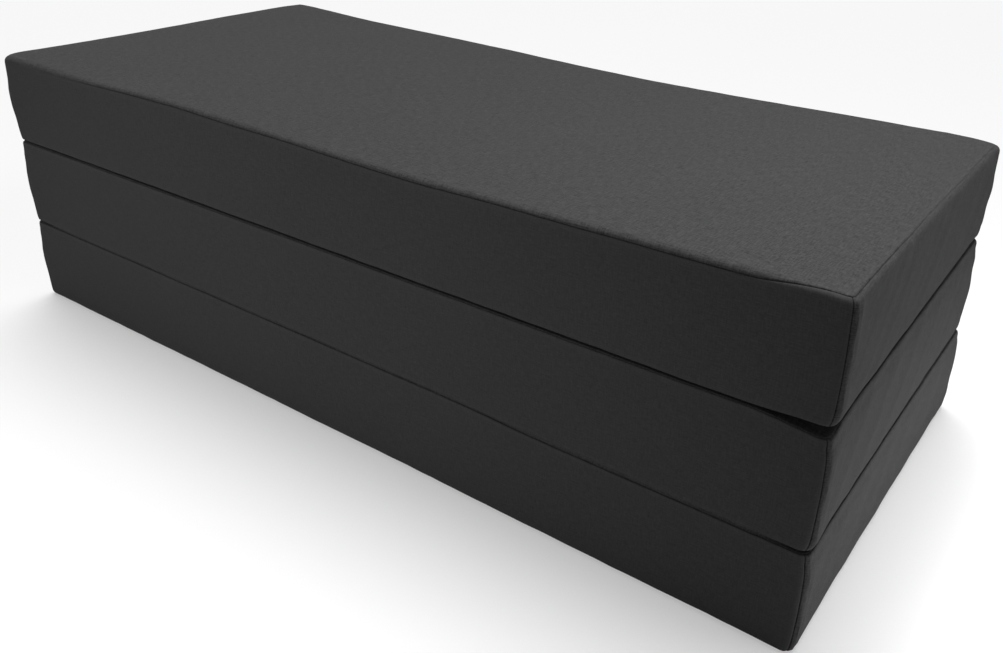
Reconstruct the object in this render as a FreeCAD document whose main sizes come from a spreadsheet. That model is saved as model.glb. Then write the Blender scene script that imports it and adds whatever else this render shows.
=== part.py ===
import FreeCAD, Part
import math
import os
import re
import Sketcher

# Tri-fold foam mattress, folded in three: a bottom, a middle and a top section in a Z fold.
# X runs along the long sides, -Y is the front, +Z is up, and the origin is on the floor under the
# centre of the stack. Millimetres.

DIMENSIONS = {
    # foam and cover
    "foam_length": 1524.0,  # along X
    "foam_height": 152.4,  # one section
    "open_length": 2032.0,  # all three sections laid flat, along Y
    "fabric": 1.5,  # cover, with its lining
    "corner_round": 20.0,  # upright edges, outside the cover
    # folds
    "fold_gap": 3.0,  # between two sections laid flat
    "stack_gap": 1.8,  # between two stacked sections
    "leaf_height": 9.0,
    "leaf_thick": 1.2,
    "leaf_margin": 26.0,  # from the cover's end to the hinge strip's end
    "leaf_clearance": 0.15,  # from a leaf's edge to the hinge line
    # zip, along the left end of each cover
    "tape_width": 14.0,
    "tape_thick": 0.8,
    "teeth_width": 5.6,
    "teeth_thick": 1.4,
    "teeth_margin": 42.0,  # from the cover's side to the last tooth
    "stop_length": 3.0,
    "stop_width": 3.2,
    "stop_thick": 2.0,
    "stop_gap": 0.2,  # from the last tooth to a clip
    "stop_spread": 0.3,  # from the chain's centre line to a clip at the closed end
    "slider_length": 12.0,
    "slider_width": 9.0,
    "slider_plate": 1.0,
    "slider_clearance": 0.25,
    "slider_park": 7.5,  # from the last tooth to the slider's centre, closed
    "ear_thick": 1.1,
    "ear_size": 3.4,
    "pin_radius": 0.7,
    "pull_bore": 0.76,
    "pull_barrel": 1.5,
    "pull_barrel_length": 3.2,
    "pull_clearance": 0.3,
    "pull_length": 24.0,
    "pull_width": 7.0,
    "pull_thick": 1.2,
    "pull_hole": 1.8,
    "neck_length": 5.0,  # from the pull's pin to its tab
    "cut_margin": 1.0,  # how far a cutting tool reaches past what it cuts
}

SECTIONS = ("bottom", "middle", "top")

# Derived sizes, as formulas in the names above
LENGTH = "(foam_length + 2 * fabric)"
DEPTH = "((open_length - 2 * fold_gap) / 3)"
HEIGHT = "(foam_height + 2 * fabric)"
PITCH = f"({HEIGHT} + stack_gap)"
END_FACE = f"({LENGTH} / 2)"
SIDE_FACE = f"({DEPTH} / 2)"
TEETH_BASE = "(fabric - tape_thick)"  # how far inside the end face the teeth start
TEETH_TOP = f"(teeth_thick - {TEETH_BASE})"  # how far outside the end face they reach
TEETH_END = f"({SIDE_FACE} - teeth_margin)"
PLATE_FROM = f"({TEETH_TOP} + slider_clearance)"
PIN_OUT = f"({PLATE_FROM} + slider_plate + pull_clearance + pull_barrel)"
SLIDER_Y = f"({TEETH_END} - slider_park)"

# Side of the cover: the direction along it and the direction out of it
SIDES = {
    "front": ((1, 0), (0, -1)),
    "rear": ((1, 0), (0, 1)),
    "right": ((0, 1), (1, 0)),
    "left": ((0, 1), (-1, 0)),
}

doc = FreeCAD.newDocument("TriFoldMattress")
sheet = doc.addObject("Spreadsheet::Sheet", "Dimensions")
for row, (name, value) in enumerate(DIMENSIONS.items(), start=1):
    sheet.set(f"A{row}", name)
    sheet.set(f"B{row}", str(value))
    sheet.setAlias(f"B{row}", name)
doc.recompute()

NAMES = re.compile(r"\b(" + "|".join(DIMENSIONS) + r")\b")


def in_sheet(formula):
    """The formula with each dimension written as its cell in the sheet."""
    return NAMES.sub(r"Dimensions.\1", formula)


def value_of(formula):
    return float(sheet.evalExpression(in_sheet(formula)))


def bind(obj, **formulas):
    """Binds properties to formulas. Base_x, Base_y and Base_z are the placement's position."""
    for name, formula in formulas.items():
        path = name.replace("Base_", "Placement.Base.")
        obj.setExpression(path, in_sheet(formula))


def outline(body, corners, arcs):
    """A closed sketch on the body's XY plane.

    corners is a list of (x, y) formulas. arcs maps the index of an edge that is an arc, which
    starts at the corner of that index, to its (centre x, centre y, radius) formulas."""
    sketch = body.newObject("Sketcher::SketchObject", "Outline")
    plane = next(f for f in body.Origin.OriginFeatures if f.Role == "XY_Plane")
    sketch.AttachmentSupport = [(plane, "")]
    sketch.MapMode = "FlatFace"
    points = [FreeCAD.Vector(value_of(x), value_of(y), 0) for x, y in corners]
    ends = []
    for i, start in enumerate(points):
        stop = points[(i + 1) % len(points)]
        if i not in arcs:
            sketch.addGeometry(Part.LineSegment(start, stop))
            ends.append((1, 2))
            continue
        centre = FreeCAD.Vector(value_of(arcs[i][0]), value_of(arcs[i][1]), 0)
        turns_left = (start - centre).cross(stop - centre).z > 0
        first, last = (start, stop) if turns_left else (stop, start)
        circle = Part.Circle(centre, FreeCAD.Vector(0, 0, 1), value_of(arcs[i][2]))
        angles = [math.atan2(p.y - centre.y, p.x - centre.x) for p in (first, last)]
        sketch.addGeometry(Part.ArcOfCircle(circle, angles[0], angles[1]))
        ends.append((1, 2) if turns_left else (2, 1))
    for i, corner in enumerate(corners):
        sketch.addConstraint(Sketcher.Constraint("Coincident", i - 1 if i else len(corners) - 1,
                                                 ends[i - 1][1], i, ends[i][0]))
        for kind, formula in zip(("DistanceX", "DistanceY"), corner):
            place = Sketcher.Constraint(kind, -1, 1, i, ends[i][0], value_of(formula))
            index = sketch.addConstraint(place)
            sketch.setExpression(f"Constraints[{index}]", in_sheet(formula))
    for i, (_, _, radius) in arcs.items():
        index = sketch.addConstraint(Sketcher.Constraint("Radius", i, value_of(radius)))
        sketch.setExpression(f"Constraints[{index}]", in_sheet(radius))
    return sketch


def padded_body(label, corners, arcs, height, base_z):
    """A PartDesign body: the outline padded up by height from base_z."""
    body = doc.addObject("PartDesign::Body", label)
    body.Label = label
    sketch = outline(body, corners, arcs)
    pad = body.newObject("PartDesign::Pad", "Pad")
    pad.Profile = sketch
    bind(pad, Length=height)
    bind(body, Base_z=base_z)
    sketch.Visibility = False
    return body


def rounded_block(label, inset, height, base_z):
    """A block with the cover's rounded outline, inset from the cover's outer face."""
    far_x, far_y = f"({END_FACE} - corner_round)", f"({SIDE_FACE} - corner_round)"
    radius = f"(corner_round - {inset})"
    corners, arcs = [], {}
    for sx, sy in ((1, -1), (1, 1), (-1, 1), (-1, -1)):
        centre = (f"{sx} * {far_x}", f"{sy} * {far_y}")
        beside = (f"{sx} * ({far_x} + {radius})", centre[1])
        ahead = (centre[0], f"{sy} * ({far_y} + {radius})")
        arcs[len(corners)] = (*centre, radius)
        corners += [ahead, beside] if sx * sy < 0 else [beside, ahead]
    return padded_body(label, corners, arcs, height, base_z)


def side_strip(label, side, inset, thick, height, base_z):
    """An upright strip round one side of the cover, from corner seam to corner seam."""
    along, out = SIDES[side]
    half_along, half_out = (END_FACE, SIDE_FACE) if along[0] else (SIDE_FACE, END_FACE)
    far, reach = f"({half_along} - corner_round)", f"({half_out} - corner_round)"
    radii = f"(corner_round - {inset})", f"(corner_round - {inset} - {thick})"

    def point(run, rise):
        """x and y formulas of the point at run along the side and rise out of the centre."""
        return tuple(f"({a} * ({run}) + {o} * ({rise}))" for a, o in zip(along, out))

    corners, arcs = [], {}
    for radius, direction in zip(radii, (1, -1)):
        seam = f"{radius} * sqrt(0.5)"
        for end in (-direction, direction):
            centre = point(f"{end} * {far}", reach)
            flat = point(f"{end} * {far}", f"{reach} + {radius}")
            mitre = point(f"{end} * ({far} + {seam})", f"{reach} + {seam}")
            arcs[len(corners)] = (*centre, radius)
            corners += [mitre, flat] if end == -direction else [flat, mitre]
    return padded_body(label, corners, arcs, height, base_z)


def block(size, corner):
    """A box from formulas for its size and its lowest corner."""
    box = doc.addObject("Part::Box", "Block")
    bind(box, Length=size[0], Width=size[1], Height=size[2])
    bind(box, Base_x=corner[0], Base_y=corner[1], Base_z=corner[2])
    return box


def upright_rod(radius, height, base):
    rod = doc.addObject("Part::Cylinder", "Rod")
    bind(rod, Radius=radius, Height=height)
    bind(rod, Base_x=base[0], Base_y=base[1], Base_z=base[2])
    return rod


def cut(base, tool, label="Cut"):
    result = doc.addObject("Part::Cut", "Cut")
    result.Base, result.Tool = base, tool
    result.Label = label
    return result


def fused(shapes, label="Fusion"):
    result = doc.addObject("Part::MultiFuse", "Fusion")
    result.Shapes = shapes
    result.Refine = True
    result.Label = label
    return result


def hinge_leaf(label, side, base_z):
    """One leaf of a fabric hinge, flat on a section's front or rear band."""
    low_y = f"(-{SIDE_FACE} - leaf_thick)" if side == "front" else SIDE_FACE
    size = (f"({LENGTH} - 2 * leaf_margin)", "leaf_thick", "leaf_height")
    leaf = block(size, (f"(leaf_margin - {END_FACE})", low_y, base_z))
    leaf.Label = label
    return leaf


def slider(label, centre_z):
    """The slider: a channel over the teeth, with two ears that hold the pull's pin."""
    inner_width = "(teeth_width + 2 * slider_clearance)"
    rear = f"({SLIDER_Y} - slider_length / 2)"
    foot = f"({TEETH_BASE} - slider_clearance)"
    shell = block((f"({PLATE_FROM} + slider_plate + {foot})", "slider_length", "slider_width"),
                  (f"(-{END_FACE} - {PLATE_FROM} - slider_plate)", rear,
                   f"({centre_z} - slider_width / 2)"))
    channel = block((f"({PLATE_FROM} + {foot} + cut_margin)", "(slider_length + 2 * cut_margin)",
                     inner_width),
                    (f"(-{END_FACE} - {PLATE_FROM})", f"({rear} - cut_margin)",
                     f"({centre_z} - {inner_width} / 2)"))
    ear_base = "(pull_barrel_length / 2 + pull_clearance)"
    ears = []
    for low_z in (f"({centre_z} + {ear_base})", f"({centre_z} - {ear_base} - ear_thick)"):
        ears.append(block((f"({PIN_OUT} - {PLATE_FROM} + ear_size / 2)", "ear_size", "ear_thick"),
                          (f"(-{END_FACE} - {PIN_OUT} - ear_size / 2)",
                           f"({SLIDER_Y} - ear_size / 2)", low_z)))
    pin_length = f"(2 * ({ear_base} + ear_thick))"
    pin = upright_rod("pin_radius", pin_length, (f"(-{END_FACE} - {PIN_OUT})", SLIDER_Y,
                                                 f"({centre_z} - {pin_length} / 2)"))
    return fused([cut(shell, channel), *ears, pin], label)


def pull(label, centre_z):
    """The pull: a barrel round the slider's pin and a tab with a hole near its free end."""
    axis_x = f"(-{END_FACE} - {PIN_OUT})"
    low_z = f"({centre_z} - pull_barrel_length / 2)"
    barrel = upright_rod("pull_barrel", "pull_barrel_length", (axis_x, SLIDER_Y, low_z))
    neck = block(("pull_thick", "neck_length", "pull_barrel_length"),
                 (f"({axis_x} - pull_thick / 2)", f"({SLIDER_Y} - neck_length)", low_z))
    tab = block(("pull_thick", "(pull_length - neck_length)", "pull_width"),
                (f"({axis_x} - pull_thick / 2)", f"({SLIDER_Y} - pull_length)",
                 f"({centre_z} - pull_width / 2)"))
    hole = doc.addObject("Part::Cylinder", "Hole")
    bind(hole, Radius="pull_hole", Height="(2 * pull_thick)")
    bind(hole, Base_x=f"({axis_x} - pull_thick)", Base_z=centre_z,
         Base_y=f"({SLIDER_Y} - pull_length + 2 * pull_hole)")
    hole.Placement.Rotation = FreeCAD.Rotation(FreeCAD.Vector(0, 1, 0), 90)
    bore = upright_rod("pull_bore", "(pull_barrel_length + 2 * cut_margin)",
                       (axis_x, SLIDER_Y, f"({low_z} - cut_margin)"))
    return cut(cut(fused([barrel, neck, tab]), hole), bore, label)


def stops(label, centre_z):
    """Two clips past the closed end of the teeth and one wider clip past the open end."""
    low_x = f"(-{END_FACE} - stop_thick + {TEETH_BASE})"
    clips = []
    for low_z in (f"({centre_z} + stop_spread)", f"({centre_z} - stop_spread - stop_width)"):
        clips.append(block(("stop_thick", "stop_length", "stop_width"),
                           (low_x, f"({TEETH_END} + stop_gap)", low_z)))
    clips.append(block(("stop_thick", "stop_length", "(2 * stop_width)"),
                       (low_x, f"(-{TEETH_END} - stop_gap - stop_length)",
                        f"({centre_z} - stop_width)")))
    group = doc.addObject("Part::Compound", "Stops")
    group.Links = clips
    group.Label = label
    return group


def section(name, level):
    """All the pieces of one section, standing at its own level of the stack."""
    base = f"({level} * {PITCH})"
    wall_base, wall_height = f"({base} + fabric)", "foam_height"
    middle = f"({base} + {HEIGHT} / 2)"
    half_wall = "((foam_height - 2 * tape_width) / 2)"
    teeth = block(("teeth_thick", f"(2 * {TEETH_END})", "teeth_width"),
                  (f"(-{END_FACE} - {TEETH_TOP})", f"(-{TEETH_END})",
                   f"({middle} - teeth_width / 2)"))
    teeth.Label = f"{name}_zip_teeth"
    return [
        rounded_block(f"{name}_foam_core", "fabric", "foam_height", wall_base),
        rounded_block(f"{name}_upper_panel", "0", "fabric", f"({base} + {HEIGHT} - fabric)"),
        rounded_block(f"{name}_lower_panel", "0", "fabric", base),
        side_strip(f"{name}_front_band", "front", "0", "fabric", wall_height, wall_base),
        side_strip(f"{name}_rear_band", "rear", "0", "fabric", wall_height, wall_base),
        side_strip(f"{name}_right_end_band", "right", "0", "fabric", wall_height, wall_base),
        side_strip(f"{name}_left_end_band_upper", "left", "0", "fabric", half_wall,
                   f"({middle} + tape_width)"),
        side_strip(f"{name}_left_end_band_lower", "left", "0", "fabric", half_wall, wall_base),
        side_strip(f"{name}_zip_tape_upper", "left", TEETH_BASE, "tape_thick", "tape_width", middle),
        side_strip(f"{name}_zip_tape_lower", "left", TEETH_BASE, "tape_thick", "tape_width",
                   f"({middle} - tape_width)"),
        teeth,
        stops(f"{name}_zip_stops", middle),
        slider(f"{name}_zip_slider", middle),
        pull(f"{name}_zip_pull", middle),
    ]


def hinge(side, below, above, level):
    """Both leaves of the hinge between the section at level and the one on it."""
    line = f"({level} * {PITCH} + {HEIGHT} + stack_gap / 2)"
    return [
        hinge_leaf(f"{below}_{side}_hinge_leaf", side, f"({line} - leaf_clearance - leaf_height)"),
        hinge_leaf(f"{above}_{side}_hinge_leaf", side, f"({line} + leaf_clearance)"),
    ]


nodes = []
for level, name in enumerate(SECTIONS):
    nodes += section(name, level)
nodes += hinge("front", "bottom", "middle", 0)
nodes += hinge("rear", "middle", "top", 1)
doc.recompute()

for obj in doc.Objects:
    if "Invalid" in obj.State or "Error" in obj.State:
        raise SystemExit(f"{obj.Label} is {obj.State}")
for node in nodes:
    if node.Shape.isNull() or not node.Shape.isValid():
        raise SystemExit(f"{node.Label} has no valid shape")

os.makedirs("parts", exist_ok=True)
for node in nodes:
    node.Shape.exportStep(f"parts/{node.Label}.step")
    size = node.Shape.BoundBox
    print(f"{node.Label}: {size.XLength:.1f} x {size.YLength:.1f} x {size.ZLength:.1f} mm, "
          f"{len(node.Shape.Solids)} solid, {node.Shape.Volume:.0f} mm3")
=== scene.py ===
import functools
import math
import zlib

import bmesh
import bpy
import numpy as np
from mathutils import Matrix, Vector


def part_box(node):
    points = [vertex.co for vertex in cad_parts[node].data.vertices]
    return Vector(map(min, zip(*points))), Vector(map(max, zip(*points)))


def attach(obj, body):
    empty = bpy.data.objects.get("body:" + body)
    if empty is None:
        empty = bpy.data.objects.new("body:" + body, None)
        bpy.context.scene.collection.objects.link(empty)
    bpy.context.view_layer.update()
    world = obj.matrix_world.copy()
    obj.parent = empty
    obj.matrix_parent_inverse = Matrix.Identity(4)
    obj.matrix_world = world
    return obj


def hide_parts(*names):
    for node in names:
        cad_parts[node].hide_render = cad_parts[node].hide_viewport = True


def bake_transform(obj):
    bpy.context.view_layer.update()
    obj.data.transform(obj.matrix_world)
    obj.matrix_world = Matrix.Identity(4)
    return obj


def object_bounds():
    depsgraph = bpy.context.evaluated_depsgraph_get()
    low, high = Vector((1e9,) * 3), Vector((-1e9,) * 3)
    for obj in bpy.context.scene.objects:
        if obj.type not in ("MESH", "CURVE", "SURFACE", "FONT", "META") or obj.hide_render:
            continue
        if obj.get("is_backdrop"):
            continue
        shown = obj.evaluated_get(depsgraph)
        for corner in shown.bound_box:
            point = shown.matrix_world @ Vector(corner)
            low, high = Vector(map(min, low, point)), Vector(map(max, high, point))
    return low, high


# The looks of a tri-fold foam mattress, folded in three. Metres, in the CAD's own frame: the long
# sides along X, the front at -Y, the floor at z = 0, and the zips on the left end at -X.

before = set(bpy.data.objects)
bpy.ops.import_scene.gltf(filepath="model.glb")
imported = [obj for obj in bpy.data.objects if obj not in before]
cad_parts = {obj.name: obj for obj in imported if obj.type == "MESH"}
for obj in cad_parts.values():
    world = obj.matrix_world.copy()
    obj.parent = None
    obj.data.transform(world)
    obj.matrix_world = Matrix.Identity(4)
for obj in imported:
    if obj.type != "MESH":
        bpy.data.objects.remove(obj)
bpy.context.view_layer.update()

MM = 0.001
QUARTER = math.pi / 2
SECTIONS = ("bottom", "middle", "top")
HALF_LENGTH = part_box("bottom_upper_panel")[1].x
HALF_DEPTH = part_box("bottom_upper_panel")[1].y
LENGTH, DEPTH = 2 * HALF_LENGTH, 2 * HALF_DEPTH
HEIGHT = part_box("bottom_upper_panel")[1].z

# The cover's rounding
LONG_SIDES = ("front", "rear")
SIDES = LONG_SIDES + ("left", "right")
PLAN_RADIUS = 14 * MM  # upright corners
CORNER = 2.2 * MM  # from the start of the rounding to the seam at a corner
SEAM_TURN = {"front": math.radians(38), "rear": math.radians(40)}  # of a corner's seam, from the side
SEAM_FADE = 60 * MM  # how far a panel feels its seam's waver
SEAM_WAVES = (110 * MM, 420 * MM)  # the shortest and longest waves in a seam

# Fabric, and the distances between points: close together near a seam
THICKNESS = 1.2 * MM
SHARP = math.radians(50)
FINE = np.array([0, 0.5, 1.1, 2.0, 3.3, 5.0, 7.2, 10.0, 13.5, 18.0, 23.5, 30.0, 38.0, 47.0]) * MM
PANEL_STEP = 9 * MM
COARSE_STEP = 20 * MM  # of the cloth that is simulated
FOAM_STEP = 15 * MM
FOAM_INSET = 3.5 * MM


def smooth(x, low, high):
    t = np.clip((x - low) / (high - low), 0, 1)
    return t * t * (3 - 2 * t)


def hump(x, at, spread):
    return np.exp(-((x - at) / spread) ** 2)


def random_for(name):
    return np.random.default_rng(zlib.crc32(name.encode()))


def waver(name, place, height, shortest, longest, count=5):
    """A seeded sum of long waves along a line."""
    rng = random_for(name)
    total = np.zeros_like(place)
    for _ in range(count):
        wave = rng.uniform(shortest, longest)
        total += np.cos(2 * math.pi * (place / wave + rng.uniform())) / count
    return height * 2 * total


# ---- the cover's shape


class Edge:
    """The rounded edge round the top or the bottom of a section, with the seam that runs near it."""

    def __init__(self, name, radius, places, ramps, wave):
        self.name, self.radius, self.waver = name, radius * MM, wave * MM
        self.places = {side: place * MM for side, place in zip(SIDES, places)}
        self.ramps = {"x": (ramps[0] * MM, ramps[1] * MM), "y": (ramps[2] * MM, ramps[3] * MM)}
        self.half = {"x": HALF_LENGTH - self.radius + CORNER, "y": HALF_DEPTH - self.radius + CORNER}

    def offset(self, side, share):
        """How far the seam is from where the rounding starts, at a share from -1 to 1 of the side."""
        axis = "x" if side in LONG_SIDES else "y"
        half = self.half[axis]
        away = (1 - np.abs(share)) * half
        wave = waver(f"{self.name} {side}", share * half, self.waver, *SEAM_WAVES)
        return CORNER + (self.places[side] - CORNER + wave) * smooth(away, *self.ramps[axis])

    def inset(self, w):
        """How far inside the outline the surface is, w past the start of the rounding."""
        angle = np.clip(w / self.radius, 0, QUARTER)
        return np.where(w < 0, self.radius - w, self.radius * (1 - np.sin(angle)))

    def drop(self, w):
        angle = np.clip(w / self.radius, 0, QUARTER)
        past = np.maximum(w - self.radius * QUARTER, 0)
        return self.radius * (1 - np.cos(angle)) + past


def turned(angle, turn):
    """An angle round a corner, moved so that its diagonal lies at the corner seam's turn."""
    half = math.pi / 4
    return np.where(angle < half, angle * turn / half, turn + (angle - half) * (QUARTER - turn) / half)


def graded(length, step, fine=FINE):
    """Distances from one seam to the other, close together near both."""
    count = max(2, round((length - 2 * fine[-1]) / step))
    between = np.linspace(fine[-1], length - fine[-1], count + 1)[1:-1]
    return np.concatenate([fine, between, length - fine[::-1]]) / length


def even(length, step):
    return np.linspace(0, 1, round(length / step) + 1)


class Section:
    def __init__(self, name, upper, lower):
        self.name, self.edges = name, {"upper": upper, "lower": lower}
        self.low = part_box(f"{name}_lower_panel")[0].z
        self.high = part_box(f"{name}_upper_panel")[1].z
        self.girth = (upper.radius + lower.radius) * (QUARTER - 1) + self.high - self.low
        self.to_middle = upper.radius * (QUARTER - 1) + (self.high - self.low) / 2
        self.moved = None  # what the cloth simulation moved, by patch

    def panel(self, level, along, across):
        """Points, normals and seam distances of a panel, at shares 0 to 1 of its length and depth."""
        edge = self.edges[level]
        up = 1 if level == "upper" else -1
        half_x, half_y = edge.half["x"], edge.half["y"]
        fx, fy = np.meshgrid((2 * along - 1) * half_x, (2 * across - 1) * half_y, indexing="ij")
        share_x, share_y = fx / half_x, fy / half_y
        from_end, from_side = half_x - np.abs(fx), half_y - np.abs(fy)
        seam_x = np.where(fx > 0, edge.offset("right", share_y), edge.offset("left", share_y))
        seam_y = np.where(fy > 0, edge.offset("rear", share_x), edge.offset("front", share_x))
        wx = CORNER - from_end + (seam_x - CORNER) * (1 - smooth(from_end, 0, SEAM_FADE))
        wy = CORNER - from_side + (seam_y - CORNER) * (1 - smooth(from_side, 0, SEAM_FADE))
        ax, ay = PLAN_RADIUS - edge.inset(wx), PLAN_RADIUS - edge.inset(wy)
        round_it = (ax > 0) & (ay > 0)
        turn = np.where(fy > 0, SEAM_TURN["rear"], SEAM_TURN["front"])
        angle = turned(np.arctan2(np.maximum(ax, 0), np.maximum(ay, 1e-9)), turn)
        reach = np.maximum(ax, ay)
        px = np.where(round_it, reach * np.sin(angle), ax)
        py = np.where(round_it, reach * np.cos(angle), ay)
        w = np.maximum(wx, wy)
        tilt = np.clip(w / edge.radius, 0, QUARTER)
        nx = np.where(round_it, np.sin(angle), (wx >= wy) * 1.0)
        ny = np.where(round_it, np.cos(angle), (wx < wy) * 1.0)
        sx, sy = np.where(fx > 0, 1, -1), np.where(fy > 0, 1, -1)
        z = self.high - edge.drop(w) if up > 0 else self.low + edge.drop(w)
        x, y = sx * (HALF_LENGTH - PLAN_RADIUS + px), sy * (HALF_DEPTH - PLAN_RADIUS + py)
        normals = np.stack([sx * nx * np.sin(tilt), sy * ny * np.sin(tilt), up * np.cos(tilt)], -1)
        seams = [
            (f"{level}_front", fx, half_y + fy), (f"{level}_rear", fx, half_y - fy),
            (f"{level}_left", fy, half_x + fx), (f"{level}_right", fy, half_x - fx),
        ]
        return {"points": np.stack([x, y, z], -1), "normals": normals, "seams": seams,
                "fabric": np.stack([fx, fy], -1), "patch": level, "places": (along, across)}

    def stations(self, level, side, share):
        """Where the seam's points are along the side's own outline."""
        edge = self.edges[level]
        lengthwise = side in LONG_SIDES
        half_side = HALF_LENGTH if lengthwise else HALF_DEPTH
        turn = SEAM_TURN["rear"] if side == "rear" else SEAM_TURN["front"]
        if not lengthwise:
            turn = QUARTER - np.where(share > 0, SEAM_TURN["rear"], SEAM_TURN["front"])
        half = edge.half["x" if lengthwise else "y"]
        beside = PLAN_RADIUS - edge.inset(np.abs(share) * half - half + CORNER)
        out = PLAN_RADIUS - edge.inset(edge.offset(side, share))
        angle = turned(np.arctan2(np.maximum(beside, 0), out), turn)
        place = half_side - PLAN_RADIUS + np.where(beside > 0, PLAN_RADIUS * angle, beside)
        return np.sign(share) * place

    def outline(self, side, place, inset):
        """Point and direction on the side's outline, at a place along it and an inset from it."""
        lengthwise = side in LONG_SIDES
        half_side, half_out = (HALF_LENGTH, HALF_DEPTH) if lengthwise else (HALF_DEPTH, HALF_LENGTH)
        past = np.abs(place) - (half_side - PLAN_RADIUS)
        angle = np.maximum(past, 0) / PLAN_RADIUS
        sign = np.sign(place)
        round_run = sign * (half_side - PLAN_RADIUS + (PLAN_RADIUS - inset) * np.sin(angle))
        run = np.where(past > 0, round_run, place)
        out = half_out - PLAN_RADIUS + (PLAN_RADIUS - inset) * np.cos(angle)
        turn_run, turn_out = sign * np.sin(angle), np.cos(angle)
        facing = -1 if side in ("front", "left") else 1
        if lengthwise:
            return run, facing * out, turn_run, facing * turn_out
        return facing * out, run, facing * turn_out, turn_run

    def band(self, side, along, rows, start=None, stop=None):
        """A band of one side, from w = start to w = stop round the girth, or from seam to seam."""
        upper, lower = self.edges["upper"], self.edges["lower"]
        share = 2 * along - 1
        first, last = upper.offset(side, share), self.girth - lower.offset(side, share)
        begin, end = first if start is None else start, last if stop is None else stop
        v, _ = np.meshgrid(rows, share, indexing="ij")
        w = begin + (end - begin) * v
        level = (w - first) / (last - first)

        def station(at):
            return self.stations("upper", side, at) * (1 - level) + self.stations("lower", side, at) * level

        place = station(share)
        from_low = self.girth - w
        high = w < self.girth / 2
        inset = np.where(high, upper.inset(w), lower.inset(from_low))
        z = np.where(high, self.high - upper.drop(w), self.low + lower.drop(from_low))
        x, y, nx, ny = self.outline(side, place, inset)
        tilt = np.clip(np.where(high, w / upper.radius, from_low / lower.radius), 0, QUARTER)
        nz = np.where(high, 1, -1) * np.cos(tilt)
        start_end, stop_end = station(np.array(-1.0)), station(np.array(1.0))
        lengthwise = side in LONG_SIDES
        axis = "x" if lengthwise else "y"
        names = (f"{side}_left", f"{side}_right") if lengthwise else (f"front_{side}", f"rear_{side}")
        seams = [
            (f"upper_{side}", share * upper.half[axis], w - first),
            (f"lower_{side}", share * lower.half[axis], last - w),
            (names[0], w, place - start_end), (names[1], w, stop_end - place),
        ]
        seams = [(n, np.broadcast_to(s, w.shape), np.maximum(t, 0)) for n, s, t in seams]
        normals = np.stack([nx * np.sin(tilt), ny * np.sin(tilt), nz], -1)
        return {"points": np.stack([x, y, z], -1), "normals": normals, "seams": seams,
                "fabric": np.stack([place, w], -1), "patch": side, "w": w, "places": (level.mean(1), along)}


# ---- seams


SEAM_DEPTHS = {"panel": 1.3 * MM, "folded": 0.8 * MM, "corner": 1.4 * MM}
PANEL_PUCKER, CORNER_PUCKER = 0.5 * MM, 0.45 * MM
GROOVE = 0.8 * MM  # half width
RIM, RIM_AT, RIM_SPREAD = 0.1, 4.5 * MM, 3 * MM  # the fabric's slight rise beside a groove
# Seams that go slack: how much they show there, and from where to where along the seam
LOOSE_SEAMS = {
    "top upper_front": (0.12, 0.13 - HALF_LENGTH, 0.34 - HALF_LENGTH),
    "top upper_right": (0.40, 0.32 - HALF_DEPTH, 0.10 - HALF_DEPTH),
}
# Puckers, in mm: from one to the next, how wide, how far they reach, and how they lean
PUCKER_GAP, PUCKER_WIDTH, PUCKER_REACH, PUCKER_LEAN = (22, 75), (7, 19), (9, 34), (-0.5, 0.5)
PUCKER_SPREAD = 0.25  # how much wider each gets, away from the seam
PUCKERS_END = 0.12


class Seam:
    """The groove along one seam, and the puckers that start from it on both sides."""

    def __init__(self, name, length, depth, pucker):
        rng = random_for("seam " + name)
        self.depth, self.puckers, self.slack = depth, [], LOOSE_SEAMS.get(name)
        at = -length / 2
        while at < length / 2:
            at += rng.uniform(*PUCKER_GAP) * MM
            height = pucker * rng.uniform(0.25, 1.0) * rng.choice([-1, 1], p=[0.7, 0.3])
            width, reach = rng.uniform(*PUCKER_WIDTH) * MM, rng.uniform(*PUCKER_REACH) * MM
            self.puckers.append((at, width, reach, height, rng.uniform(*PUCKER_LEAN)))

    def strength(self, place):
        """How tight the seam is along its length, 1 where it shows most."""
        if not self.slack:
            return 1.0
        least, slack_at, tight_at = self.slack
        return least + (1 - least) * smooth(place, slack_at, tight_at)

    def relief(self, place, away):
        groove = np.exp(-away / GROOVE) - RIM * hump(away, RIM_AT, RIM_SPREAD)
        height = -self.depth * self.strength(place) * groove
        near = away < PUCKERS_END
        total, place, away = np.zeros_like(away), place[near], away[near]
        part = np.zeros_like(place)
        for at, width, reach, rise, lean in self.puckers:
            across = (place - at - lean * away) / (width + PUCKER_SPREAD * away)
            part += rise * np.exp(-across ** 2 - away / reach)
        total[near] = part
        return height + total


@functools.cache
def seam_named(key):
    """The seam of a section's name and its own, such as "top upper_front" or "top front_left"."""
    level, side = key.split(" ")[1].split("_")
    if level not in ("upper", "lower"):
        return Seam(key, 2 * HEIGHT, SEAM_DEPTHS["corner"], CORNER_PUCKER)
    length = LENGTH if side in LONG_SIDES else DEPTH
    folded = key not in ("top upper_" + side, "bottom lower_" + side)
    return Seam(key, length, SEAM_DEPTHS["folded" if folded else "panel"], PANEL_PUCKER)


# ---- how the stack has settled

# Sizes in mm over the CAD's own shape. Places and reaches in metres, x from the left end and y from
# the front.
NEAR_RIGHT, NEAR_LEFT, NEAR_FRONT, NEAR_REAR = (0.16, 0.01), (0.01, 0.12), 0.16, 0.12
CORNER_ALONG, CORNER_ACROSS = (0.10, 0.004), 0.05  # the near corner, at the right and the front

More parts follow.
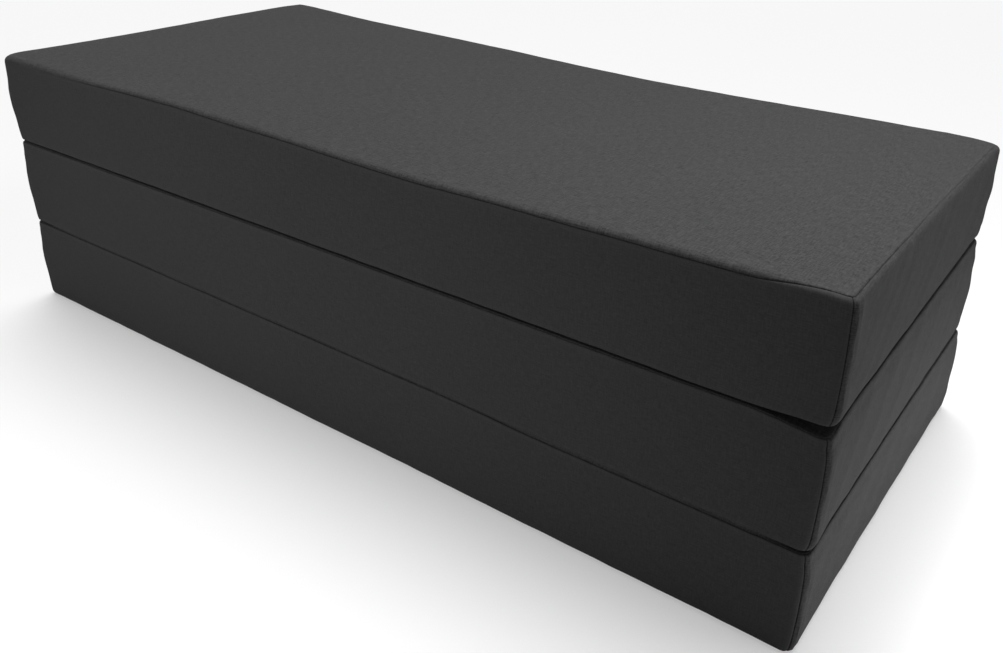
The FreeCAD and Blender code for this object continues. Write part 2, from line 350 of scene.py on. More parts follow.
# The top: its long sag, the dip in its front edge, and its lifted rear left corner
SAG, SAG_AT, SAG_SPREAD = 9.5, 0.93, 0.36
SAG_AT_FRONT, SAG_WHOLE_AT = 0.85, 0.2
DIP, DIP_AT, DIP_SPREAD = 4.5, 0.26, 0.12
LIFT, LIFT_SPREAD, LIFT_FROM = 8, 0.17, 0.1
LOOSE_EDGE = (0.10, 0.34)  # where along the front the edge is loose and rolls down
# How far each edge or corner of the top rolls down, and its reach
ROLLS = {"front": (6.5, 0.017), "left": (3.0, 0.010), "right": (3.6, 0.010), "rear": (2.0, 0.014),
         "rear right": (5.0, 0.022), "front left": (2.5, 0.016)}

# The folds: how they press flat towards the front and open at the near corner
UPPER_FOLD, LOWER_FOLD, LOWER_FOLD_MORE, LOWER_FOLD_AT = -2.3, -2.0, 3.0, (1.0, 1.15)
MOUTH_ABOVE, MOUTH_BELOW = 3, 8.5
BOTTOM_FRONT, BOTTOM_FRONT_AT = 1.5, (1.0, 1.25)

# The ends: how far each leans out at its upper and lower edge, each at the front and at the rear
LEANS = {"top": ((1.5, 0.0), (3.0, -2.0)), "middle": ((3.0, 0.0), (2.5, 2.0)),
         "bottom": ((2.8, 4.5), (2.0, 5.0))}
ROLLED, ROLLED_REACH = 3.6, 6 * MM  # how far an end turns in at a fold
TUCKED, TUCKED_AT, TUCKED_SPREAD = 1.3, 15 * MM, 7 * MM
RIGHT_OUT, RIGHT_BULGE, RIGHT_NEAR, RIGHT_NEAR_REACH = 1.5, 3.0, 2.2, 0.05
LEFT_OUT, LEFT_BULGE, LEFT_NEAR, LEFT_NEAR_TOP, LEFT_NEAR_REACH = 2.5, 4.0, 7.5, 4.0, 0.07
CLEAR_OF_ZIP, PAST_ZIP = (0.016, 0.045), (0.317, 0.334)  # from its line, and from the end's middle

# The long sides: how much the front and the rear swell, and the rear's start and swell at the right
SWELLS = {"top": (1.0, 0.1), "middle": (0.1, 0.1), "bottom": (0.1, 1.5)}
REARS = {"top": (0.0, 0.0), "middle": (0.2, 0.0), "bottom": (5.0, 2.0)}
REAR_ROLLED = 0.7
FOOT, FOOT_AT = 1.5, (0.9, 1.15)  # the bottom section's front, by the floor


def level_shift(name, x, y):
    """How far a section's upper and lower faces rise."""
    near_right = smooth(x, LENGTH - NEAR_RIGHT[0], LENGTH - NEAR_RIGHT[1])
    near_front = 1 - smooth(y, 0, NEAR_FRONT)
    corner = smooth(x, LENGTH - CORNER_ALONG[0], LENGTH - CORNER_ALONG[1])
    corner = corner * (1 - smooth(y, 0.0, CORNER_ACROSS))
    sag = SAG * hump(x, SAG_AT, SAG_SPREAD) * (SAG_AT_FRONT + (1 - SAG_AT_FRONT) * smooth(y, 0, SAG_WHOLE_AT))
    dip = DIP * near_front * hump(x, DIP_AT, DIP_SPREAD)
    lift = LIFT * smooth(y, LIFT_FROM, DEPTH) * hump(x, 0, LIFT_SPREAD)
    away = {"front": y, "left": x, "right": LENGTH - x, "rear": DEPTH - y,
            "rear right": np.hypot(LENGTH - x, DEPTH - y), "front left": np.hypot(x, y)}
    roll = 0
    for place, (size, reach) in ROLLS.items():
        loose = 1 - smooth(x, *LOOSE_EDGE) if place == "front" else 1
        roll = roll + size * loose * np.exp(-away[place] / reach)
    upper_fold = UPPER_FOLD * near_front * (1 - near_right)
    lower_fold = LOWER_FOLD - LOWER_FOLD_MORE * smooth(x, *LOWER_FOLD_AT)
    lower_fold = lower_fold * np.maximum(near_front, near_right)
    bottom = lower_fold - BOTTOM_FRONT * near_front * smooth(x, *BOTTOM_FRONT_AT)
    return {
        "top": (lift - sag - dip - roll, upper_fold + MOUTH_ABOVE * corner),
        "middle": (upper_fold - MOUTH_BELOW * corner, lower_fold),
        "bottom": (bottom, np.zeros_like(x)),
    }[name]


def settled(section, points):
    """Where points of a section go once the foam has settled under its own weight."""
    name = section.name
    x, y, z = points[..., 0] + HALF_LENGTH, points[..., 1] + HALF_DEPTH, points[..., 2]
    share = np.clip((z - section.low) / (section.high - section.low), 0, 1)
    near_right = smooth(x, LENGTH - NEAR_RIGHT[0], LENGTH - NEAR_RIGHT[1])
    near_left = 1 - smooth(x, *NEAR_LEFT)
    near_front, near_rear = 1 - smooth(y, 0, NEAR_FRONT), smooth(y, DEPTH - NEAR_REAR, DEPTH)
    upper, lower = level_shift(name, x, y)
    rise = upper * share + lower * (1 - share)

    # The ends lean, bulge between the folds and roll in at them
    bulge = np.sin(math.pi * share) ** 0.6
    back = y / DEPTH
    high, low = (front + (rear - front) * back for front, rear in LEANS[name])
    below, above = np.maximum(section.high - z, 0), np.maximum(z - section.low, 0)
    if name == "top":
        rolled = ROLLED * np.exp(-above / ROLLED_REACH)
    else:
        rolled = ROLLED * np.exp(-np.minimum(below, above) / ROLLED_REACH)
        rolled = rolled + TUCKED * hump(below, TUCKED_AT, TUCKED_SPREAD)
    right = high * share + low * (1 - share) + RIGHT_OUT + RIGHT_BULGE * bulge - rolled
    right = right + RIGHT_NEAR * np.exp(-y / RIGHT_NEAR_REACH)
    middle = (section.low + section.high) / 2
    off_zip = np.maximum(smooth(np.abs(points[..., 1]), *PAST_ZIP), smooth(np.abs(z - middle), *CLEAR_OF_ZIP))
    proud = (LEFT_NEAR + LEFT_NEAR_TOP * share * (name == "top")) * (1 - smooth(y, 0.0, LEFT_NEAR_REACH))
    left = off_zip * (LEFT_OUT + LEFT_BULGE * bulge + proud) - rolled
    dx = right * near_right - left * near_left

    # The free front and rear faces swell a little, and the faces that fold against each other don't
    swell_front, swell_rear = SWELLS[name]
    rear_out, rear_bulge = REARS[name]
    rear = swell_rear * bulge + (rear_out + rear_bulge * bulge - REAR_ROLLED * rolled) * near_right
    dy = near_rear * rear - near_front * swell_front * bulge
    if name == "bottom":
        dy = dy - FOOT * near_front * (1 - share) * smooth(x, *FOOT_AT)
    return points + np.stack([dx, dy, rise], -1) * MM


# ---- cloth

def whole_skin(section, step):
    """The six patches of a section's closed skin, with evenly spaced points."""
    along, across, up = (even(length, step) for length in (LENGTH, DEPTH, HEIGHT))
    skin = {level: section.panel(level, along, across) for level in ("upper", "lower")}
    for side in SIDES:
        skin[side] = section.band(side, along if side in LONG_SIDES else across, up)
    return skin


def quads(rows, columns, flip):
    """Faces of a grid of points, by index."""
    index = np.arange(rows * columns).reshape(rows, columns)
    face = np.stack([index[:-1, :-1], index[1:, :-1], index[1:, 1:], index[:-1, 1:]], -1).reshape(-1, 4)
    return face[:, ::-1] if flip else face


# Which patches' grids run the other way round
FLIPPED = {"upper": False, "lower": True, "front": False, "rear": True, "left": True, "right": False}


def new_object(name, data):
    obj = bpy.data.objects.new(name, data)
    bpy.context.scene.collection.objects.link(obj)
    return obj


def mesh_object(name, points, faces, sharp=False):
    """An object that is shaded smooth, or with sharp edges where it turns more than SHARP."""
    mesh = bpy.data.meshes.new(name)
    mesh.from_pydata(points.tolist(), [], faces if isinstance(faces, list) else faces.tolist())
    mesh.update()
    mesh.shade_smooth()
    if sharp:
        mesh.set_sharp_from_angle(angle=SHARP)
    return new_object(name, mesh)


def add_piece(obj, look, section=None, node=None):
    """Gives a piece its look and slot, the section it moves with and the CAD node it stands for."""
    obj.data.materials.append(LOOKS[look])
    if section:
        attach(obj, f"{section.name}_section")
    if node:
        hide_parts(f"{section.name}_{node}")
    return obj


def tube_faces(rings, around, base=0):
    """Faces of a tube made of rings of points, from the point of index base, with its ends closed."""
    faces = []
    for start in range(base, base + (rings - 1) * around, around):
        for k in range(around):
            a, b = start + k, start + (k + 1) % around
            faces.append([a, b, b + around, a + around])
    faces.append([base + k for k in reversed(range(around))])
    faces.append([base + (rings - 1) * around + k for k in range(around)])
    return faces


def welded(patches, shift):
    """Points and faces of one closed skin, and each patch's point indices in it."""
    seen, points, faces, indices = {}, {}, [], {}
    for name, patch in patches.items():
        keys = np.floor(patch["points"].reshape(-1, 3) / (0.02 * MM) + 0.37).astype(int)
        index = np.array([seen.setdefault(tuple(key), len(seen)) for key in keys])
        for i, point in zip(index, shift(patch).reshape(-1, 3)):
            points.setdefault(i, point)
        rows, columns = patch["points"].shape[:2]
        faces += index[quads(rows, columns, FLIPPED[name])].tolist()
        indices[name] = index.reshape(rows, columns)
    return np.array(list(points.values())), faces, indices


CLOTH = {
    "quality": 6, "mass": 0.3, "tension_stiffness": 25, "compression_stiffness": 25, "shear_stiffness": 8,
    "bending_stiffness": 1.2, "use_pressure": True, "uniform_pressure_force": 4,
}
CLOTH_STEPS = 20
START_NOISE = 0.25 * MM
MOST_MOVED = 4.5 * MM
# How much of the movement is kept: along X, across, across at a fold, up, and up at the free top
KEPT_ALONG, KEPT_ACROSS, LESS_AT_FOLD, KEPT_UP, KEPT_UP_TOP = 0.7, 0.6, 0.45, 0.1, 0.35


def simulate(section):
    """Inflates a coarse copy of the section's cover as cloth and keeps how far each point moved."""
    skin = whole_skin(section, COARSE_STEP)
    rng = random_for("slack " + section.name)
    points, faces, indices = welded(skin, lambda patch: patch["points"])
    points = points + rng.normal(0, START_NOISE, points.shape)
    obj = mesh_object("cloth_" + section.name, points, faces)
    bm = bmesh.new()
    bm.from_mesh(obj.data)
    bmesh.ops.recalc_face_normals(bm, faces=bm.faces)
    bm.to_mesh(obj.data)
    bm.free()
    cloth = obj.modifiers.new("Cloth", "CLOTH")
    for key, value in CLOTH.items():
        setattr(cloth.settings, key, value)
    cloth.settings.effector_weights.gravity = 0
    cloth.collision_settings.use_collision = False
    cloth.point_cache.frame_start, cloth.point_cache.frame_end = 1, CLOTH_STEPS
    for step in range(1, CLOTH_STEPS + 1):
        bpy.context.scene.frame_set(step)
    evaluated = obj.evaluated_get(bpy.context.evaluated_depsgraph_get())
    after = np.empty(len(points) * 3)
    evaluated.data.vertices.foreach_get("co", after)
    moved = after.reshape(-1, 3) - points
    size = np.linalg.norm(moved, axis=1, keepdims=True)
    moved *= MOST_MOVED / np.sqrt(MOST_MOVED ** 2 + size ** 2)
    section.moved = {name: moved[index] for name, index in indices.items()}
    bpy.context.scene.frame_set(1)
    mesh = obj.data
    bpy.data.objects.remove(obj)
    bpy.data.meshes.remove(mesh)


def spline_weights(at, count):
    """Weights of a smooth curve through count even points, at shares 0 to 1 of it."""
    at = np.clip(at, 0, 1) * (count - 1)
    first = np.minimum(at.astype(int), count - 2)
    t = at - first
    shares = [(-t + 2 * t ** 2 - t ** 3) / 2, (2 - 5 * t ** 2 + 3 * t ** 3) / 2,
              (t + 4 * t ** 2 - 3 * t ** 3) / 2, (-t ** 2 + t ** 3) / 2]
    weights = np.zeros((len(at), count))
    for k, share in enumerate(shares):
        column = np.clip(first + k - 1, 0, count - 1)
        np.add.at(weights, (np.arange(len(at)), column), share)
    return weights


def cloth_shift(section, patch):
    """How far the simulated cloth moved, at each point of the patch."""
    if section.moved is None:
        return np.zeros_like(patch["points"])
    moved = section.moved[patch["patch"]]
    first, second = patch["places"]
    weights = spline_weights(first, moved.shape[0]), spline_weights(second, moved.shape[1])
    shift = np.einsum("ai,ijk,bj->abk", weights[0], moved, weights[1])
    x, y, z = (patch["points"][..., k] for k in range(3))
    share = np.clip((z - section.low) / (section.high - section.low), 0, 1)
    shift[..., 2] *= (KEPT_UP_TOP if section.name == "top" else KEPT_UP) * share + KEPT_UP * (1 - share)
    front, rear = (smooth(out, HALF_DEPTH - 0.05, HALF_DEPTH) for out in (-y, y))
    at_fold = (section.name != "top") * front + (section.name != "bottom") * rear
    shift[..., 1] *= KEPT_ACROSS - LESS_AT_FOLD * at_fold
    by_zip = 1 - smooth(np.abs(z - (section.low + section.high) / 2), 0.012, 0.04)
    shift *= (1 - by_zip * smooth(-x, HALF_LENGTH - 0.04, HALF_LENGTH - 0.02))[..., None]
    shift[..., 0] *= KEPT_ALONG
    return shift


GATHERS = ((6.5, 1.9, 1.2), (11.5, 2.4, -1.0), (17.5, 3.2, 0.9))  # place, half width and height, in mm


def gathers(name, along, away):
    """The slack of an end band beside its corner seam: soft upright folds that come and go."""
    total = np.zeros_like(away)
    for number, (place, width, height) in enumerate(GATHERS):
        shown = 0.55 + waver(f"{name} gather {number}", along, 0.45, 45 * MM, 130 * MM)
        sway = waver(f"{name} sway {number}", along, 0.8 * MM, 60 * MM, 160 * MM)
        total += height * MM * shown * hump(away, place * MM + sway, width * MM)
    return total


def slack_folds(name, patch):
    """The soft leaning folds of an end band that is a little large for its foam."""
    across, up = patch["fabric"][..., 0], patch["fabric"][..., 1]
    folds = waver(name + " slack", across + 0.9 * up, 0.45 * MM, 50 * MM, 140 * MM)
    folds = folds + waver(name + " drape", 0.6 * across - up, 0.35 * MM, 45 * MM, 120 * MM)
    for _, _, away in patch["seams"]:
        folds = folds * (1 - np.exp(-away / (9 * MM)))
    return folds


def relief(section, patch):
    total = np.zeros(patch["points"].shape[:2])
    if patch["patch"] == "right":
        total += slack_folds(section.name, patch)
    for name, place, away in patch["seams"]:
        total += seam_named(f"{section.name} {name}").relief(place, away)
        if patch["patch"] in ("left", "right") and name.split("_")[0] in LONG_SIDES:
            total += gathers(f"{section.name} {name}", place, away)
    return total


def finished(section, patch):
    """The patch's final points: seams, the cloth's movement, and the settled stack."""
    points = patch["points"] + patch["normals"] * relief(section, patch)[..., None]
    return settled(section, points + cloth_shift(section, patch))


TIE_REACH = 7 * MM


def tied(points, border, target, away):
    """Moves one border of a patch onto its neighbour's, and the patch near it less and less."""
    if border in ("top", "bottom"):
        step = (target - points[0 if border == "top" else -1])[None]
    else:
        step = (target - points[:, 0 if border == "start" else -1])[:, None]
    return points + np.exp(-away / TIE_REACH)[..., None] * step


# ---- pieces of the cover


def shell(name, points, thickness, flip):
    """A sheet of fabric with thickness, from its outer points in a grid. Returns the object."""
    rows, columns = points.shape[:2]
    normal = np.cross(np.gradient(points, axis=0), np.gradient(points, axis=1))
    normal /= np.maximum(np.linalg.norm(normal, axis=-1, keepdims=True), 1e-12)
    if flip:
        normal = -normal
    inner = points - normal * thickness
    count = rows * columns
    outer_faces = quads(rows, columns, flip)
    index = np.arange(count).reshape(rows, columns)
    ring = np.concatenate([index[:, 0], index[-1, 1:], index[-2::-1, -1], index[0, -2:0:-1]])
    following = np.roll(ring, -1)
    rim = np.stack([ring, ring + count, following + count, following], -1)
    if flip:
        rim = rim[:, ::-1]
    faces = np.concatenate([outer_faces, outer_faces[:, ::-1] + count, rim])
    return mesh_object(name, np.concatenate([points.reshape(-1, 3), inner.reshape(-1, 3)]), faces, sharp=True)


def mark(obj, fabric, wear, grain):
    """Stores where each point is on the flat fabric, how rubbed it is and its painted seam shade, and how
    strong its grain is.
    """
    flat = np.concatenate([fabric, np.zeros(fabric.shape[:2] + (1,))], -1)
    for name, values in (("fabric", flat), ("wear", wear), ("grain", np.full(wear.shape, grain))):
        kind, key = ("FLOAT_VECTOR", "vector") if name == "fabric" else ("FLOAT", "value")
        stored = obj.data.attributes.new(name, kind, "POINT").data
        stored.foreach_set(key, np.tile(values.ravel(), len(stored) // wear.size).astype(np.float32))


GRAIN = {False: 1.35, True: 0.5}  # of the panels and end bands, and of the smoother long bands
# WEAR lightens rubbed fabric beside a seam; SEAM_SHADE is painted shade that darkens the colour in the seam's
# groove.
WEAR, WEAR_AT, WEAR_SPREAD, SEAM_SHADE = 0.6, 4 * MM, 2.5 * MM, 5


def wear_and_seam_shade_of(section, patch):
    """How rubbed the cover is, a little along the seams, and the painted shade darkening each seam's groove,
    below 0.
    """
    wear_and_shade = np.zeros(patch["points"].shape[:2])
    for name, place, away in patch["seams"]:
        seam = seam_named(f"{section.name} {name}")
        if name.split("_")[0] in ("upper", "lower"):
            wear_and_shade += WEAR * hump(away, WEAR_AT, WEAR_SPREAD)
        # Painted shade: the colour is darkened in the groove, where shadow falls.
        wear_and_shade -= SEAM_SHADE * seam.strength(place) * hump(away, 0, GROOVE)
    return np.clip(wear_and_shade, -SEAM_SHADE, 1)


def fabric_piece(section, patch, points, node, look, thickness=THICKNESS):
    obj = shell(f"{section.name}_{node}_cloth", points, thickness, FLIPPED[patch["patch"]])
    mark(obj, patch["fabric"], wear_and_seam_shade_of(section, patch), GRAIN[patch["patch"] in LONG_SIDES])
    return add_piece(obj, look, section, node)


BAND_ROWS = graded(0.14, 8 * MM)
ALONG = {"x": graded(LENGTH, PANEL_STEP), "y": graded(DEPTH, PANEL_STEP)}
HALF_BAND_ROWS = graded(0.052, 7 * MM, FINE[:9])
LIP = 10.5 * MM  # from the zip's line to the folded edge of the band over its tape
HEM, HEM_END, HEM_HEIGHT, HEM_ROUND = 12 * MM, 3 * MM, 0.7 * MM, 1.2 * MM  # of the turned-in fabric there
STITCH_DIP, STITCH_DIP_SPREAD = 0.5 * MM, 0.9 * MM


def column_at(patch, points, column, w):
    """Points of one column of a band, at one or more distances w down its girth."""
    return np.stack([np.interp(w, patch["w"][:, column], points[:, column, k]) for k in range(3)], -1)


COVER_NODES = {
    "upper": "upper_panel", "lower": "lower_panel", "front": "front_band", "rear": "rear_band",
    "right": "right_end_band", "left_upper": "left_end_band_upper", "left_lower": "left_end_band_lower",
}


def build_cover(section):
    """All fabric pieces of a section's cover. Returns the final points of each patch."""
    patches = {level: section.panel(level, ALONG["x"], ALONG["y"]) for level in ("upper", "lower")}
    done = {level: finished(section, patch) for level, patch in patches.items()}
    edge_of = {"front": np.s_[:, 0], "rear": np.s_[:, -1], "left": np.s_[0], "right": np.s_[-1]}

    def to_panels(side, patch, points, borders=("upper", "lower")):
        for border, level, seam in (("top", "upper", 0), ("bottom", "lower", 1)):
            if level in borders:
                points = tied(points, border, done[level][edge_of[side]], patch["seams"][seam][2])
        return points

    for side in LONG_SIDES:
        patches[side] = section.band(side, ALONG["x"], BAND_ROWS)
        done[side] = to_panels(side, patches[side], finished(section, patches[side]))

    def to_corners(side, patch, points):
        column = -1 if side == "right" else 0
        for border, neighbour, seam in (("start", "front", 2), ("end", "rear", 3)):
            w = patch["w"][:, 0 if border == "start" else -1]
            target = column_at(patches[neighbour], done[neighbour], column, w)
            points = tied(points, border, target, patch["seams"][seam][2])
        return points

    patch = patches["right"] = section.band("right", ALONG["y"], BAND_ROWS)
    done["right"] = to_corners("right", patch, to_panels("right", patch, finished(section, patch)))

    to_middle = section.to_middle
    for level, start, stop in (("upper", None, to_middle - LIP), ("lower", to_middle + LIP, None)):
        patch = section.band("left", ALONG["y"], HALF_BAND_ROWS, start, stop)
        lip = np.abs(patch["w"] - (stop if start is None else start))
        rounded = np.sqrt(1 - np.clip(1 - lip / HEM_ROUND, 0, 1) ** 2)
        raised = HEM_HEIGHT * (1 - smooth(lip, HEM, HEM + HEM_END)) * rounded
        raised = raised - STITCH_DIP * hump(lip, STITCH_IN, STITCH_DIP_SPREAD)
        points = finished(section, patch) + patch["normals"] * raised[..., None]
        points = to_panels("left", patch, points, (level,))
        name = f"left_{level}"
        patches[name], done[name] = patch, to_corners("left", patch, points)

    for name, node in COVER_NODES.items():
        piece = fabric_piece(section, patches[name], done[name], node, "cover")
    return patches, done


def build_foam(section):
    points, faces, _ = welded(whole_skin(section, FOAM_STEP), lambda patch: sunk(section, patch, FOAM_INSET))
    obj = mesh_object(f"{section.name}_foam", points, faces)
    add_piece(obj, "foam", section, "foam_core")


# ---- zips


TAPE_EDGE, TAPE_CENTRE = 14 * MM, 0.4 * MM  # from the zip's line
TAPE_IN, TAPE_THICKNESS = 0.9 * MM, 0.6 * MM


def sunk(section, patch, depth):
    """The patch's points at a depth under the skin, moved as the cover is."""
    return settled(section, patch["points"] - patch["normals"] * depth + cloth_shift(section, patch))


def build_tape(section, half):
    """One side of the zip's tape, from under the band's folded edge to the teeth."""
    offsets = (-TAPE_EDGE, -TAPE_CENTRE) if half == "upper" else (TAPE_CENTRE, TAPE_EDGE)
    span = [section.to_middle + offset for offset in offsets]
    patch = section.band("left", ALONG["y"], np.linspace(0, 1, 9), *span)
    points = sunk(section, patch, TAPE_IN)
    obj = fabric_piece(section, patch, points, f"zip_tape_{half}", "tape", TAPE_THICKNESS)


TOOTH_PITCH = 2.0 * MM
TOOTH_RINGS = (  # along Z from the tape to the tip: place, half width, half thickness, in mm
    (2.80, 0.26, 0.45), (2.62, 0.40, 0.66), (0.55, 0.40, 0.66), (0.10, 0.53, 0.68),
    (-0.55, 0.53, 0.66), (-0.90, 0.28, 0.40),
)
RING_POINTS = 8


def tooth(side):
    """One coil element, whose root is on the upper or lower tape."""
    points = []
    for place, half_width, half_thick in TOOTH_RINGS:
        for k in range(RING_POINTS):
            angle = 2 * math.pi * k / RING_POINTS
            points.append((half_thick * math.cos(angle), half_width * math.sin(angle), side * place))
    faces = tube_faces(len(TOOTH_RINGS), RING_POINTS)
    if side > 0:
        faces = [face[::-1] for face in faces]
    return np.array(points) * MM, faces


def build_teeth(section):
    low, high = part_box(f"{section.name}_zip_teeth")
    middle = (low + high) / 2
    points, faces = [], []
    for k in range(int((high.y - low.y) / TOOTH_PITCH)):
        for side, shift in ((1, 0.25), (-1, 0.75)):
            shape, sides = tooth(side)
            base = len(points) * len(shape)
            points.append(shape + np.array([middle.x, low.y + (k + shift) * TOOTH_PITCH, middle.z]))
            faces += [[base + i for i in face] for face in sides]
    obj = mesh_object(f"{section.name}_zip_coils", np.concatenate(points), faces, sharp=True)
    add_piece(obj, "teeth", section, "zip_teeth")


def line_at(patch, points, w):
    """The line along a band at distance w down its girth."""
    return np.array([column_at(patch, points, column, w) for column in range(points.shape[1])])


STITCH_END = 12 * MM  # from a seam to the row's first stitch
STITCH_PITCH, STITCH_LENGTH, THREAD_RADIUS, STITCH_SINK = 4.2 * MM, 3.1 * MM, 0.32 * MM, 0.5 * MM
STITCH_IN = 3.2 * MM  # from the band's folded edge to the row


def stitches(name, line, outward):
    """Stitches along a line on a surface: short threads whose ends go into the fabric."""
    gaps = np.linalg.norm(np.diff(line, axis=0), axis=1)
    run = np.concatenate([[0], np.cumsum(gaps)])
    points, faces = [], []
    around, along = 6, 7
    for start in np.arange(STITCH_END, run[-1] - STITCH_END, STITCH_PITCH):
        at = start + np.linspace(0, STITCH_LENGTH, along)
        centre, out = (np.stack([np.interp(at, run, path[:, k]) for k in range(3)], -1)
                       for path in (line, outward))
        bow = np.sin(np.linspace(0, math.pi, along)) ** 0.5
        centre += out * ((THREAD_RADIUS + STITCH_SINK) * bow - STITCH_SINK)[:, None]
        ahead = np.gradient(centre, axis=0)
        ahead /= np.linalg.norm(ahead, axis=1, keepdims=True)
        beside = np.cross(ahead, out)
        up = np.cross(beside, ahead)
        faces += tube_faces(along, around, len(points) * around * along)
        angle = 2 * math.pi * np.arange(around)[None, :, None] / around
        ring = np.cos(angle) * beside[:, None] + np.sin(angle) * up[:, None]
        points.append((centre[:, None] + THREAD_RADIUS * ring).reshape(-1, 3))
    return mesh_object(name, np.concatenate(points), faces)


METAL_EDGE = 0.28 * MM


def build_zip(section, patches, done):
    for half in ("upper", "lower"):
        build_tape(section, half)
        patch, points = patches[f"left_{half}"], done[f"left_{half}"]
        lip_row, toward = (-1, -1) if half == "upper" else (0, 1)
        w = patch["w"][lip_row].mean() + toward * STITCH_IN
        obj = stitches(f"{section.name}_zip_stitches_{half}", line_at(patch, points, w),
                       line_at(patch, patch["normals"], w))
        add_piece(obj, "thread", section)
    build_teeth(section)
    for part in ("zip_stops", "zip_slider", "zip_pull"):
        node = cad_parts[f"{section.name}_{part}"]
        for slot in node.material_slots:
            slot.link = "OBJECT"
            slot.material = LOOKS["metal"]
        bevel = node.modifiers.new("Rounded edges", "BEVEL")
        bevel.width, bevel.segments, bevel.limit_method = METAL_EDGE, 3, "ANGLE"


# ---- hinge strips


STRIP_STEP, STRIP_THICKNESS, STRIP_BOW = 8 * MM, 0.9 * MM, 0.9 * MM
TUCK, TUCK_SHARE = 5 * MM, 0.08  # how far its borders go in, and over, past the seams
ENDS_IN, ENDS_REACH = 3.5 * MM, 22 * MM


def build_hinge(name, side, below, above, done):
    """The strip of fabric sewn into two sections' seams, across the gap where they fold."""
    leaves = [f"{s.name}_{side}_hinge_leaf" for s in (below, above)]
    low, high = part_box(leaves[0])[0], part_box(leaves[1])[1]
    column = 0 if side == "front" else -1
    outward = -1 if side == "front" else 1
    x = np.linspace(low.x, high.x, round((high.x - low.x) / STRIP_STEP))
    lines = []
    for section, level in ((below, "upper"), (above, "lower")):
        seam = done[section.name][level][:, column]
        lines.append(np.stack([x] + [np.interp(x, seam[:, 0], seam[:, k]) for k in (1, 2)], -1))
    # Across the strip: the share of the way from seam to seam, and the depth behind the line between them
    inside, across = np.linspace(1, 0.15, 6), np.linspace(0, 1, 13)
    share = np.concatenate([-TUCK_SHARE * inside, across, 1 + TUCK_SHARE * inside[::-1]])
    depth = np.concatenate([TUCK * inside, STRIP_BOW * np.sin(math.pi * across), TUCK * inside[::-1]])
    wave = waver(name + " depth", x, 0.25 * MM, 60 * MM, 260 * MM)
    wave = wave + ENDS_IN * np.exp(-np.minimum(x - x[0], x[-1] - x) / ENDS_REACH)
    points = lines[0][:, None] * (1 - share)[None, :, None] + lines[1][:, None] * share[None, :, None]
    bowed = (share >= 0) & (share <= 1)
    points[..., 1] -= outward * (depth[None, :] + wave[:, None] * (np.sin(math.pi * share) * bowed)[None, :])
    obj = shell(name, points, STRIP_THICKNESS, side == "rear")
    girth = float(np.linalg.norm(np.diff(points, axis=1), axis=-1).sum(1).mean())
    flat_x, flat_v = np.meshgrid(x, np.linspace(0, girth, len(share)), indexing="ij")
    mark(obj, np.stack([flat_x, flat_v], -1), np.zeros(flat_x.shape), 1.0)
    add_piece(obj, "hinge")
    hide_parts(*leaves)
    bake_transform(obj)


# ---- materials


class Nodes:
    def __init__(self, tree):
        self.tree = tree

    def node(self, kind, inputs=None, **settings):
        made = self.tree.nodes.new("ShaderNode" + kind)
        for key, value in settings.items():
            setattr(made, key, value)
        for key, value in (inputs or {}).items():
            if isinstance(value, bpy.types.NodeSocket):
                self.tree.links.new(value, made.inputs[key])
            else:
                made.inputs[key].default_value = value
        return made

    def by_camera(self, unseen, seen):
        """One shader for what the camera sees directly, and another for all else."""
        ray = self.node("LightPath").outputs["Is Camera Ray"]
        return self.node("MixShader", {0: ray, 1: unseen.outputs[0], 2: seen.outputs[0]}).outputs[0]


class Shader(Nodes):
    def __init__(self, name, **settings):
        self.material = bpy.data.materials.new(name)
        self.material.use_nodes = True
        super().__init__(self.material.node_tree)
        self.surface = next(n for n in self.tree.nodes if n.type == "BSDF_PRINCIPLED")
        for key, value in settings.items():
            self.surface.inputs[key.replace("_", " ")].default_value = value

    def math(self, operation, a, b=0.0):
        return self.node("Math", {0: a, 1: b}, operation=operation).outputs[0]

    def total(self, *terms):
        """The sum of (weight, value) terms and plain numbers."""
        result = 0.0
        for term in terms:
            value = self.math("MULTIPLY", term[1], term[0]) if isinstance(term, tuple) else term
            result = self.math("ADD", value, result)
        return result

    def noise(self, place, sizes, detail=2.0):
        """Noise round 0, whose grains are about the given sizes in metres."""
        scale = [1 / size for size in sizes]
        scaled = self.node("VectorMath", {0: place, 1: scale}, operation="MULTIPLY").outputs[0]
        made = self.node("TexNoise", {"Vector": scaled, "Scale": 1.0, "Detail": detail})
        return self.math("SUBTRACT", made.outputs["Fac"], 0.5)

    def attribute(self, name, output="Fac"):
        return self.node("Attribute", attribute_name=name).outputs[output]

    def finish(self, base, brightness, rough, height, strength, distance):
        """Links the colour, the roughness and the bumps, and returns the material."""
        colour = self.node("VectorMath", {0: base, "Scale": brightness}, operation="SCALE").outputs[0]
        bump = self.node("Bump", {"Height": height, "Strength": strength, "Distance": distance}).outputs[0]
        for name, value in (("Base Color", colour), ("Roughness", rough), ("Normal", bump)):
            self.tree.links.new(value, self.surface.inputs[name])
        return self.material


